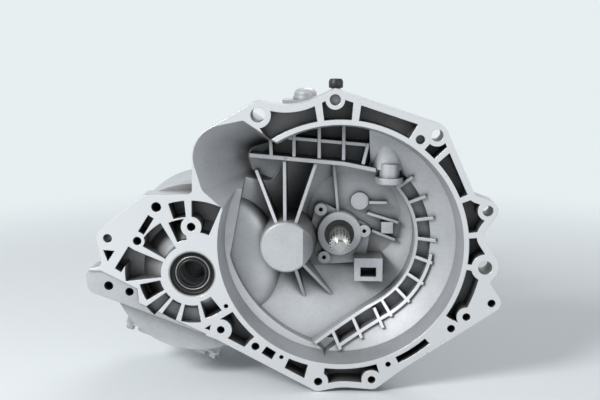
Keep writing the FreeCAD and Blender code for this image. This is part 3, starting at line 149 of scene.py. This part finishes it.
# Silver sprayed die casting; where its face is machined it is paler and finely milled. Its colour also
# carries painted shade, which an occlusion node darkens into hollows and creases.
def castAluminium(name, machinedY=None):
    look = castLook
    material, tree, shader = newMaterial(name)
    place = objectPoint(tree)
    blotch = addNode(tree, "ShaderNodeTexNoise", Vector=place, Scale=look["blotch"], Detail=5.0,
                     Roughness=0.6)
    speckle = addNode(tree, "ShaderNodeTexNoise", Vector=place, Scale=look["speckle"], Detail=3.0,
                      Roughness=0.7)
    base = ramp(tree, blotch.outputs["Fac"],
                [(look["shadeFrom"], look["shade"]), (look["paleFrom"], look["pale"])])
    spots = ramp(tree, speckle.outputs["Fac"],
                 [(look["speckleShade"], look["shade"]), (look["specklePale"], look["pale"])])
    base = mixColour(tree, look["speckleShare"], base, spots)
    # Painted shade: an occlusion node darkens the colour in hollows, creases and pockets, nearly black in the
    # deepest.
    depth = tree.nodes.new("ShaderNodeAmbientOcclusion")
    depth.samples = look["rayCount"]
    depth.inputs["Distance"].default_value = look["hollowReach"]
    paintedShadeSteps = zip(look["hollowStops"], (look["hollow"], look["paintedShadeHalf"], look["open"]))
    base = mixColour(tree, 1.0, base, ramp(tree, depth.outputs["AO"], list(paintedShadeSteps)), "MULTIPLY")
    grain = addNode(tree, "ShaderNodeTexNoise", Vector=place, Scale=look["grain"], Detail=2.0)
    bump = addNode(tree, "ShaderNodeBump", Strength=look["grainBump"], Distance=look["grainDepth"],
                   Height=grain.outputs["Fac"])
    rounded = tree.nodes.new("ShaderNodeBevel")
    rounded.samples = look["rayCount"]
    rounded.inputs["Radius"].default_value = look["edgeRadius"]
    tree.links.new(rounded.outputs["Normal"], bump.inputs["Normal"])
    tree.links.new(bump.outputs["Normal"], shader.inputs["Normal"])
    rough = mathNode(tree, "MULTIPLY_ADD", blotch.outputs["Fac"], look["roughSpread"])
    rough.node.inputs[2].default_value = look["roughness"]
    if machinedY is not None:
        split = addNode(tree, "ShaderNodeSeparateXYZ", Vector=place)
        away = mathNode(tree, "ABSOLUTE", mathNode(tree, "SUBTRACT", split.outputs["Y"], machinedY))
        front = mathNode(tree, "LESS_THAN", away, look["machinedDepth"])
        lines = addNode(tree, "ShaderNodeTexWave", {"wave_type": "BANDS", "bands_direction": "DIAGONAL"},
                        Vector=place, Scale=look["millMarks"], Distortion=look["millWobble"], Detail=1.0)
        bright = ramp(tree, lines.outputs["Fac"], [(0.0, look["machinedDark"]), (1.0, look["machined"])])
        base = mixColour(tree, front, base, bright)
        rough = mathNode(tree, "SUBTRACT", rough, mathNode(tree, "MULTIPLY", front, look["machinedGloss"]))
    tree.links.new(base, shader.inputs["Base Color"])
    tree.links.new(rough, shader.inputs["Roughness"])
    shader.inputs["Metallic"].default_value = look["metallic"]
    return material


streakLook = {
    "detail": 6.0, "fine": 0.65, "darkFrom": 0.3, "paleFrom": 0.65, "roughSpread": 0.2, "depth": 0.0003,
}


# Ground or pressed metal, or rubber, with fine streaks; roughness is that of the smoothest streak.
def plainMetal(name, colour, dark, metallic, roughness, scale=40.0, stretch=(1, 1, 1), bumpSize=0.05):
    look = streakLook
    material, tree, shader = newMaterial(name)
    place = addNode(tree, "ShaderNodeMapping", Vector=objectPoint(tree), Scale=stretch)
    streaks = addNode(tree, "ShaderNodeTexNoise", Vector=place.outputs["Vector"], Scale=scale,
                      Detail=look["detail"], Roughness=look["fine"])
    tint = ramp(tree, streaks.outputs["Fac"], [(look["darkFrom"], dark), (look["paleFrom"], colour)])
    tree.links.new(tint, shader.inputs["Base Color"])
    rough = mathNode(tree, "MULTIPLY_ADD", streaks.outputs["Fac"], look["roughSpread"])
    rough.node.inputs[2].default_value = roughness
    tree.links.new(rough, shader.inputs["Roughness"])
    bump = addNode(tree, "ShaderNodeBump", Strength=bumpSize, Distance=look["depth"],
                   Height=streaks.outputs["Fac"])
    tree.links.new(bump.outputs["Normal"], shader.inputs["Normal"])
    shader.inputs["Metallic"].default_value = metallic
    return material


housingMetal = castAluminium("housingCasting", 0.0)
caseMetal = castAluminium("caseCasting")
sheetSteel = plainMetal("sprayedSheet", (0.66, 0.66, 0.67), (0.52, 0.52, 0.53), 0.55, 0.34)
gearSteel = plainMetal("groundSteel", (0.55, 0.54, 0.52), (0.36, 0.35, 0.34), 1.0, 0.20, 60.0, (1, 8, 1))
ironMetal = plainMetal("castIron", (0.24, 0.24, 0.25), (0.12, 0.12, 0.12), 0.7, 0.47, 120.0, (1, 1, 1), 0.25)
bearingSteel = plainMetal("bearingSteel", (0.62, 0.62, 0.62), (0.46, 0.46, 0.46), 1.0, 0.14, 80.0, (1, 12, 1))
blackRubber = plainMetal("blackRubber", (0.016, 0.016, 0.016), (0.006, 0.006, 0.006), 0.0, 0.34, 150.0)
zincSteel = plainMetal("zincSteel", (0.60, 0.60, 0.58), (0.40, 0.40, 0.38), 0.9, 0.24, 300.0)
redSealant = plainMetal("redSealant", (0.30, 0.10, 0.08), (0.18, 0.06, 0.05), 0.0, 0.52, 200.0)
slotMaterials = {"cast_aluminium": caseMetal, "pressed_steel": sheetSteel, "gear_steel": gearSteel,
                 "cast_iron": ironMetal, "bearing_steel": bearingSteel, "black_rubber": blackRubber}

for row in frame["record"]["subparts"]:
    material = slotMaterials[row["material_slot"]]
    if row["node"] == "gearbox_housing":
        material = housingMetal
    mesh = nodes[row["node"]].data
    mesh.materials.clear()
    mesh.materials.append(material)
print("materials on the frame")


# A finished mesh becomes a piece with one material that rides on a body.
def addPiece(name, mesh, material, body):
    mesh.materials.clear()
    mesh.materials.append(material)
    item = bpy.data.objects.new(name, mesh)
    bpy.context.scene.collection.objects.link(item)
    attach(item, body)
    return item


def smoothMesh(mesh, angle=35.0):
    for face in mesh.polygons:
        face.use_smooth = True
    mesh.set_sharp_from_angle(angle=math.radians(angle))


mergeGap = 1e-7  # corners nearer than this are one


# A closed profile of (radius, distance) corners turned about a line along Y or Z.
def lathe(name, profile, centre, axis, material, body, steps=64):
    shape = bmesh.new()
    rings = []
    for step in range(steps):
        angle = 2 * math.pi * step / steps
        across, up = math.cos(angle), math.sin(angle)
        ring = []
        for radius, along in profile:
            spot = (radius * across, along, radius * up)
            if axis == "Z":
                spot = (radius * across, radius * up, along)
            ring.append(shape.verts.new(Vector(centre) + Vector(spot)))
        rings.append(ring)
    count = len(profile)
    for here, there in zip(rings, rings[1:] + rings[:1]):
        for index in range(count):
            follow = (index + 1) % count
            shape.faces.new((here[index], here[follow], there[follow], there[index]))
    bmesh.ops.remove_doubles(shape, verts=shape.verts, dist=mergeGap)
    bmesh.ops.dissolve_degenerate(shape, edges=shape.edges, dist=mergeGap)
    bmesh.ops.recalc_face_normals(shape, faces=shape.faces)
    mesh = bpy.data.meshes.new(name)
    shape.to_mesh(mesh)
    shape.free()
    smoothMesh(mesh)
    return addPiece(name, mesh, material, body)


# Geometry Nodes: copies of one form at points whose aim attribute says where its Z axis points.
def repeatTree(name, sizes, buildForm, pivot, material):
    tree = bpy.data.node_groups.new(name, "GeometryNodeTree")
    tree.interface.new_socket("Geometry", in_out="INPUT", socket_type="NodeSocketGeometry")
    tree.interface.new_socket("Geometry", in_out="OUTPUT", socket_type="NodeSocketGeometry")
    for label, value in sizes.items():
        socket = tree.interface.new_socket(label, in_out="INPUT", socket_type="NodeSocketFloat")
        socket.default_value = value
    inside = tree.nodes.new("NodeGroupInput")
    outside = tree.nodes.new("NodeGroupOutput")
    aim = addNode(tree, "GeometryNodeInputNamedAttribute", {"data_type": "FLOAT_VECTOR"}, Name="aim")
    turn = tree.nodes.new("FunctionNodeAlignRotationToVector")
    turn.axis = "Z"
    turn.pivot_axis = pivot
    direction = next(item for item in aim.outputs if item.enabled and item.name == "Attribute")
    tree.links.new(direction, turn.inputs["Vector"])
    copies = tree.nodes.new("GeometryNodeInstanceOnPoints")
    tree.links.new(inside.outputs["Geometry"], copies.inputs["Points"])
    tree.links.new(buildForm(tree, inside), copies.inputs["Instance"])
    tree.links.new(turn.outputs["Rotation"], copies.inputs["Rotation"])
    whole = addNode(tree, "GeometryNodeRealizeInstances", Geometry=copies.outputs["Instances"])
    finish = addNode(tree, "GeometryNodeSetMaterial", Geometry=whole.outputs["Geometry"])
    finish.inputs["Material"].default_value = material
    tree.links.new(finish.outputs["Geometry"], outside.inputs["Geometry"])
    return tree


def scaled(tree, socket, factor):
    return mathNode(tree, "MULTIPLY", socket, factor)


# One cylinder of a form, standing on the height base along Z.
def rod(tree, vertices, radius, depth, base):
    body = addNode(tree, "GeometryNodeMeshCylinder", Vertices=vertices, Radius=radius, Depth=depth)
    lift = addNode(tree, "ShaderNodeCombineXYZ", Z=mathNode(tree, "ADD", base, scaled(tree, depth, 0.5)))
    return addNode(tree, "GeometryNodeTransform", Geometry=body.outputs["Mesh"],
                   Translation=lift.outputs["Vector"]).outputs["Geometry"]


boltShape = {"sides": 24, "flats": 6, "collar": 1.28, "collarHigh": 0.3, "headHigh": 1.1}


# Hex head on a round flange on a cast boss that reaches back from the seat.
def boltForm(tree, inside):
    size = inside.outputs["Head Radius"]
    seat = inside.outputs["Seat"]
    bossLength = inside.outputs["Boss Length"]
    collarHigh = scaled(tree, size, boltShape["collarHigh"])
    boss = rod(tree, boltShape["sides"], inside.outputs["Boss Radius"], bossLength,
               mathNode(tree, "SUBTRACT", seat, bossLength))
    collar = rod(tree, boltShape["sides"], scaled(tree, size, boltShape["collar"]), collarHigh, seat)
    head = rod(tree, boltShape["flats"], size, scaled(tree, size, boltShape["headHigh"]),
               mathNode(tree, "ADD", seat, collarHigh))
    join = tree.nodes.new("GeometryNodeJoinGeometry")
    for part in (boss, collar, head):
        tree.links.new(part, join.inputs["Geometry"])
    return join.outputs["Geometry"]


# A plain bar lying along Y: a spline tooth or a stiffening rib.
def toothForm(tree, inside):
    size = addNode(tree, "ShaderNodeCombineXYZ", X=inside.outputs["Tooth Width"],
                   Y=inside.outputs["Tooth Length"], Z=inside.outputs["Tooth Height"])
    return addNode(tree, "GeometryNodeMeshCube", Size=size.outputs["Vector"]).outputs["Mesh"]


# Runs the tree on a cloud of places and keeps the result as a plain mesh.
def repeatPiece(name, places, sizes, buildForm, pivot, material, body):
    cloud = bpy.data.meshes.new(name + "Places")
    cloud.from_pydata([place for place, aim in places], [], [])
    aims = cloud.attributes.new("aim", "FLOAT_VECTOR", "POINT")
    for index, (place, aim) in enumerate(places):
        aims.data[index].vector = aim
    holder = bpy.data.objects.new(name + "Holder", cloud)
    bpy.context.scene.collection.objects.link(holder)
    tree = repeatTree(name + "Tree", sizes, buildForm, pivot, material)
    modifier = holder.modifiers.new(name + "Nodes", "NODES")
    modifier.node_group = tree
    for item in tree.interface.items_tree:
        if item.in_out == "INPUT" and item.name in sizes:
            modifier[item.identifier] = sizes[item.name]
    view = bpy.context.evaluated_depsgraph_get()
    mesh = bpy.data.meshes.new_from_object(holder.evaluated_get(view))
    mesh.name = name
    bpy.data.objects.remove(holder)
    return addPiece(name, mesh, material, body)


# The rear outline is the tight loop round the input, rail and output bays.
bays = {"input": 0.057, "rail": 0.026, "output": 0.069}


def bayOutline(outset, count=180):
    loop = []
    for step in range(count):
        angle = 2 * math.pi * step / count
        across, up = math.cos(angle), math.sin(angle)
        name = max(bays, key=lambda bay: axes[bay][0] * across + axes[bay][1] * up + bays[bay])
        reach = bays[name] + outset
        loop.append((axes[name][0] + reach * across, axes[name][1] + reach * up))
    return loop


# Places at even steps along a loop, each with its outward direction.
def evenSpots(loop, count):
    steps = [math.dist(here, there) for here, there in zip(loop, loop[1:] + loop[:1])]
    whole = sum(steps)
    spots = []
    for index in range(count):
        left = whole * (index + 0.5) / count
        for place, long in enumerate(steps):
            if left <= long:
                here, there = loop[place], loop[(place + 1) % len(loop)]
                spot = Vector(here).lerp(Vector(there), left / long)
                spots.append((spot, Vector((there[1] - here[1], here[0] - there[0])).normalized()))
                break
            left -= long
    return spots


# A flat band round the rear outline, from one distance along Y to another.
def flangeBand(name, inner, outer, start, end, material):
    shape = bmesh.new()
    loops = []
    for outset, y in ((inner, start), (outer, start), (outer, end), (inner, end)):
        loops.append([shape.verts.new((x, y, z)) for x, z in bayOutline(outset)])
    for near, far in zip(loops, loops[1:] + loops[:1]):
        count = len(near)
        for index in range(count):
            follow = (index + 1) % count
            shape.faces.new((near[index], near[follow], far[follow], far[index]))
    bmesh.ops.remove_doubles(shape, verts=shape.verts, dist=mergeGap)
    bmesh.ops.recalc_face_normals(shape, faces=shape.faces)
    mesh = bpy.data.meshes.new(name)
    shape.to_mesh(mesh)
    shape.free()
    smoothMesh(mesh, 30.0)
    return addPiece(name, mesh, material, "housing")


flanges = {
    "caseJoint": {"y": 0.185, "thick": 0.008, "bolts": 12},
    "coverJoint": {"y": 0.262, "thick": 0.007, "bolts": 10},
}
flange = {"inner": -0.001, "outer": 0.008, "sealant": 0.0004, "boltLine": 0.0048, "bossStand": 0.004}
jointBolts = {"Head Radius": 0.0062, "Seat": 0.0, "Boss Radius": 0.0088, "Boss Length": 0.022}
for name, joint in flanges.items():
    front, back = joint["y"] - joint["thick"], joint["y"] + joint["thick"]
    nearSealant, farSealant = joint["y"] - flange["sealant"], joint["y"] + flange["sealant"]
    flangeBand(name + "Front", flange["inner"], flange["outer"], front, nearSealant, caseMetal)
    flangeBand(name + "Sealant", flange["inner"], flange["outer"] + flange["sealant"], nearSealant,
               farSealant, redSealant)
    flangeBand(name + "Back", flange["inner"], flange["outer"], farSealant, back, caseMetal)
    places = [((spot.x, back + flange["bossStand"], spot.y), (0, 1, 0))
              for spot, away in evenSpots(bayOutline(flange["boltLine"]), joint["bolts"])]
    repeatPiece(name + "Bolts", places, jointBolts, boltForm, "AUTO", zincSteel, "housing")
print("joint flanges and bolts")

stiffeners = {
    "caseRibs": {"from": 0.193, "to": 0.255, "count": 26, "wide": 0.0028, "high": 0.009},
    "coverRibs": {"from": 0.269, "to": 0.322, "count": 22, "wide": 0.0026, "high": 0.007},
}
for name, ribs in stiffeners.items():
    middleY = (ribs["from"] + ribs["to"]) / 2
    places = [((spot.x, middleY, spot.y), (away.x, 0, away.y))
              for spot, away in evenSpots(bayOutline(0), ribs["count"])]
    rib = {"Tooth Width": ribs["wide"], "Tooth Length": ribs["to"] - ribs["from"],
           "Tooth Height": ribs["high"]}
    repeatPiece(name, places, rib, toothForm, "Y", caseMetal, "housing")
print("case ribs")

sump = {
    "angle": 19.75, "reach": 0.1115, "long": 0.128, "wide": 0.1, "start": 0.058, "edge": 0.0065,
    "boltShares": (-1, -0.34, 0.34, 1),
}
turn = math.radians(sump["angle"])
along = Vector((math.cos(turn), 0, -math.sin(turn)))
outward = Vector((-math.sin(turn), 0, -math.cos(turn)))
middle = Vector((axes["axle"][0], 0, axes["axle"][1]))


def sumpSpot(share, y):
    place = middle + along * (share * (sump["long"] / 2 - sump["edge"])) + outward * sump["reach"]
    return (place.x, y, place.z)


nearY, farY = sump["start"] + sump["edge"], sump["start"] + sump["wide"] - sump["edge"]
spots = [sumpSpot(share, y) for y in (nearY, farY) for share in sump["boltShares"]]
spots += [sumpSpot(share, (nearY + farY) / 2) for share in (-1, 1)]
coverBolts = {"Head Radius": 0.0055, "Seat": 0.0, "Boss Radius": 0.0075, "Boss Length": 0.0015}
repeatPiece("differentialCoverBolts", [(spot, tuple(outward)) for spot in spots], coverBolts, boltForm,
            "AUTO", zincSteel, "housing")

turret = {"flangeTop": 0.096, "boltInset": 0.008}
turretLow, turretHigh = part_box("shift_turret")
inset = turret["boltInset"]
corners = [(x, y, turret["flangeTop"]) for x in (turretLow.x + inset, turretHigh.x - inset)
           for y in (turretLow.y + inset, turretHigh.y - inset)]
turretBolts = {"Head Radius": 0.0052, "Seat": 0.0, "Boss Radius": 0.0072, "Boss Length": 0.004}
repeatPiece("turretBolts", [(spot, (0, 0, 1)) for spot in corners], turretBolts, boltForm, "AUTO", zincSteel,
            "housing")

tooth = {"Tooth Width": 0.0019, "Tooth Length": 0.026, "Tooth Height": 0.0032}
spline = {"teeth": 19, "radius": 0.0114, "middle": 0.031}
places = []
for index in range(spline["teeth"]):
    angle = 2 * math.pi * index / spline["teeth"]
    across, up = math.cos(angle), math.sin(angle)
    places.append(((spline["radius"] * across, spline["middle"], spline["radius"] * up), (across, 0, up)))
repeatPiece("splineTeeth", places, tooth, toothForm, "Y", gearSteel, "input")
print("bolts and spline")

axle = (axes["axle"][0], 0, axes["axle"][1])
seal = {
    "steps": 96,
    # shell, groove and lips from the seat inwards, then back along the hidden side
    "lips": [(0.0290, 0.0015), (0.0275, 0.0008), (0.0262, 0.0010), (0.0255, 0.0035), (0.0240, 0.0042),
             (0.0232, 0.0030), (0.0222, 0.0030), (0.0214, 0.0048), (0.0205, 0.0060), (0.0195, 0.0050),
             (0.0185, 0.0028), (0.0170, 0.0018), (0.0160, 0.0022), (0.0150, 0.0042), (0.0158, 0.0060),
             (0.0180, 0.0062), (0.0190, 0.0080), (0.0260, 0.0085), (0.0262, 0.0115), (0.0290, 0.0115)],
    "rim": [(0.0272, 0.0012), (0.0276, 0.0003), (0.0290, 0.0003), (0.0290, 0.0020), (0.0276, 0.0020)],
}
lips = lathe("axleSealLips", seal["lips"], axle, "Y", blackRubber, "housing", seal["steps"])
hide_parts("axle_seal")
lathe("sealSteelRim", seal["rim"], axle, "Y", gearSteel, "housing", seal["steps"])
garter = {"radius": 0.0205, "wire": 0.0009, "y": 0.0048, "sides": 8}
angles = [2 * math.pi * side / garter["sides"] for side in range(garter["sides"])]
ring = [(garter["radius"] + garter["wire"] * math.cos(angle), garter["y"] + garter["wire"] * math.sin(angle))
        for angle in angles]
lathe("sealGarterSpring", ring, axle, "Y", gearSteel, "housing")

# Fluid bleeder with its cap, behind the top lug: radii, and heights above the input shaft.
bleeder = {
    "spot": (-0.006, 0.060, 0), "foot": 0.158, "shoulder": 0.186, "neck": 0.188, "pipeTop": 0.193,
    "pipeRadius": 0.0062, "neckRadius": 0.0048, "capFoot": 0.1875, "capLip": 0.189, "capShoulder": 0.1955,
    "capEdge": 0.1985, "capRoof": 0.1965, "top": 0.199, "boreRadius": 0.0056, "footRadius": 0.0084,
    "capRadius": 0.0088, "crownRadius": 0.0070,
}
pipe = [(0.0, bleeder["foot"]), (bleeder["pipeRadius"], bleeder["foot"]),
        (bleeder["pipeRadius"], bleeder["shoulder"]), (bleeder["neckRadius"], bleeder["neck"]),
        (bleeder["neckRadius"], bleeder["pipeTop"]), (0.0, bleeder["pipeTop"])]
cap = [(bleeder["boreRadius"], bleeder["capFoot"]), (bleeder["footRadius"], bleeder["capFoot"]),
       (bleeder["capRadius"], bleeder["capLip"]), (bleeder["capRadius"], bleeder["capShoulder"]),
       (bleeder["crownRadius"], bleeder["capEdge"]), (0.0, bleeder["top"]), (0.0, bleeder["capRoof"]),
       (bleeder["boreRadius"], bleeder["capRoof"])]
lathe("bleederPipe", pipe, bleeder["spot"], "Z", zincSteel, "housing")
lathe("bleederCap", cap, bleeder["spot"], "Z", blackRubber, "housing")

# Stepped, domed selector cap over the turret.
dome = {
    "spot": (-0.046, 0.150, 0),
    "profile": [(0.0, 0.166), (0.0165, 0.166), (0.0165, 0.171), (0.0150, 0.172), (0.0150, 0.176),
                (0.0120, 0.180), (0.0060, 0.1822), (0.0, 0.183)],
}
lathe("selectorCap", dome["profile"], dome["spot"], "Z", caseMetal, "housing")

# Guide bush and collar of the release arm.
release = {
    "spot": (0.061, 0.048, 0), "low": 0.071, "step": 0.079, "high": 0.096, "edge": 0.001,
    "bore": 0.0080, "bush": 0.0125, "collarFoot": 0.0165, "collar": 0.0170,
}
bush = [(release["bore"], release["low"]), (release["collarFoot"], release["low"]),
        (release["collar"], release["low"] + release["edge"]), (release["collar"], release["step"]),
        (release["bush"], release["step"]), (release["bush"], release["high"]),
        (release["bore"], release["high"])]
lathe("releaseBush", bush, release["spot"], "Z", caseMetal, "housing")
print("seal lips, bleeder, cap and bush")

studio = {
    "eye": (-0.0141, -0.9717, 0.2474), "aim": (-0.03426, 0.98103, -0.19081), "lens": 50.0, "sensor": 36.0,
    "floorColour": (0.80, 0.84, 0.86), "backColour": (0.80, 0.86, 0.88), "skyLight": 0.32,
    "skyColour": (0.92, 0.95, 1.0), "floorRoughness": 0.8,
    "floorGap": 0.001, "floorSize": 6.0, "fadeFrom": 0.7, "fadeTo": 1.5,
}
camera = bpy.data.objects.new("camera", bpy.data.cameras.new("camera"))
bpy.context.scene.collection.objects.link(camera)
camera.location = studio["eye"]
camera.rotation_mode = "QUATERNION"
camera.rotation_quaternion = Vector(studio["aim"]).to_track_quat("-Z", "Y")
camera.data.lens = studio["lens"]
camera.data.sensor_width = studio["sensor"]
bpy.context.scene.camera = camera
bpy.context.scene.view_settings.view_transform = "Standard"


def areaLamp(name, place, target, size, power):
    data = bpy.data.lights.new(name, "AREA")
    data.shape = "DISK"
    data.size = size
    data.energy = power
    lamp = bpy.data.objects.new(name, data)
    bpy.context.scene.collection.objects.link(lamp)
    lamp.location = place
    lamp.rotation_mode = "QUATERNION"
    lamp.rotation_quaternion = (Vector(target) - Vector(place)).to_track_quat("-Z", "Y")


lamps = {
    "keyLamp": {"place": (-1.3, -1.2, 1.2), "target": (-0.05, 0.05, 0.0), "size": 0.7, "power": 34.0},
    "fillLamp": {"place": (1.4, -1.2, 0.5), "target": (0.0, 0.05, 0.0), "size": 1.2, "power": 6.0},
    "rearLamp": {"place": (0.3, 1.6, 1.6), "target": (0.0, 0.1, 0.0), "size": 1.2, "power": 12.0},
}
for name, lamp in lamps.items():
    areaLamp(name, lamp["place"], lamp["target"], lamp["size"], lamp["power"])
world = bpy.data.worlds.new("studioSky")
world.use_nodes = True
tree = world.node_tree
tree.nodes.clear()
rays = tree.nodes.new("ShaderNodeLightPath")
seen = mathNode(tree, "MAXIMUM", rays.outputs["Is Camera Ray"], rays.outputs["Is Glossy Ray"])
seen = mathNode(tree, "MAXIMUM", seen, rays.outputs["Is Transmission Ray"])
light = addNode(tree, "ShaderNodeBackground", Color=(*studio["skyColour"], 1.0), Strength=studio["skyLight"])
back = addNode(tree, "ShaderNodeBackground", Color=(*studio["backColour"], 1.0), Strength=1.0)
blend = tree.nodes.new("ShaderNodeMixShader")
tree.links.new(seen, blend.inputs[0])
tree.links.new(light.outputs["Background"], blend.inputs[1])
tree.links.new(back.outputs["Background"], blend.inputs[2])
sky = tree.nodes.new("ShaderNodeOutputWorld")
tree.links.new(blend.outputs["Shader"], sky.inputs["Surface"])
bpy.context.scene.world = world

floorMesh = bpy.data.meshes.new("floor")
shape = bmesh.new()
bmesh.ops.create_grid(shape, x_segments=1, y_segments=1, size=studio["floorSize"])
shape.to_mesh(floorMesh)
shape.free()
floor = bpy.data.objects.new("floor", floorMesh)
floor.location = (0, 0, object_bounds()[0].z - studio["floorGap"])
bpy.context.scene.collection.objects.link(floor)
# The floor fades into the backdrop away from the object and keeps its shadow near it.
paleFloor, tree, shader = newMaterial("paleFloor")
shader.inputs["Base Color"].default_value = (*studio["floorColour"], 1)
shader.inputs["Roughness"].default_value = studio["floorRoughness"]
distance = addNode(tree, "ShaderNodeVectorMath", {"operation": "LENGTH"})
tree.links.new(objectPoint(tree), distance.inputs[0])
fade = addNode(tree, "ShaderNodeMapRange", {"interpolation_type": "SMOOTHSTEP"},
               Value=distance.outputs["Value"],
               From_Min=studio["fadeFrom"], From_Max=studio["fadeTo"])
clear = tree.nodes.new("ShaderNodeBsdfTransparent")
mix = tree.nodes.new("ShaderNodeMixShader")
tree.links.new(fade.outputs["Result"], mix.inputs[0])
tree.links.new(shader.outputs["BSDF"], mix.inputs[1])
tree.links.new(clear.outputs["BSDF"], mix.inputs[2])
surface = next(node for node in tree.nodes if node.type == "OUTPUT_MATERIAL")
tree.links.new(mix.outputs["Shader"], surface.inputs["Surface"])
floorMesh.materials.append(paleFloor)
print("studio ready")
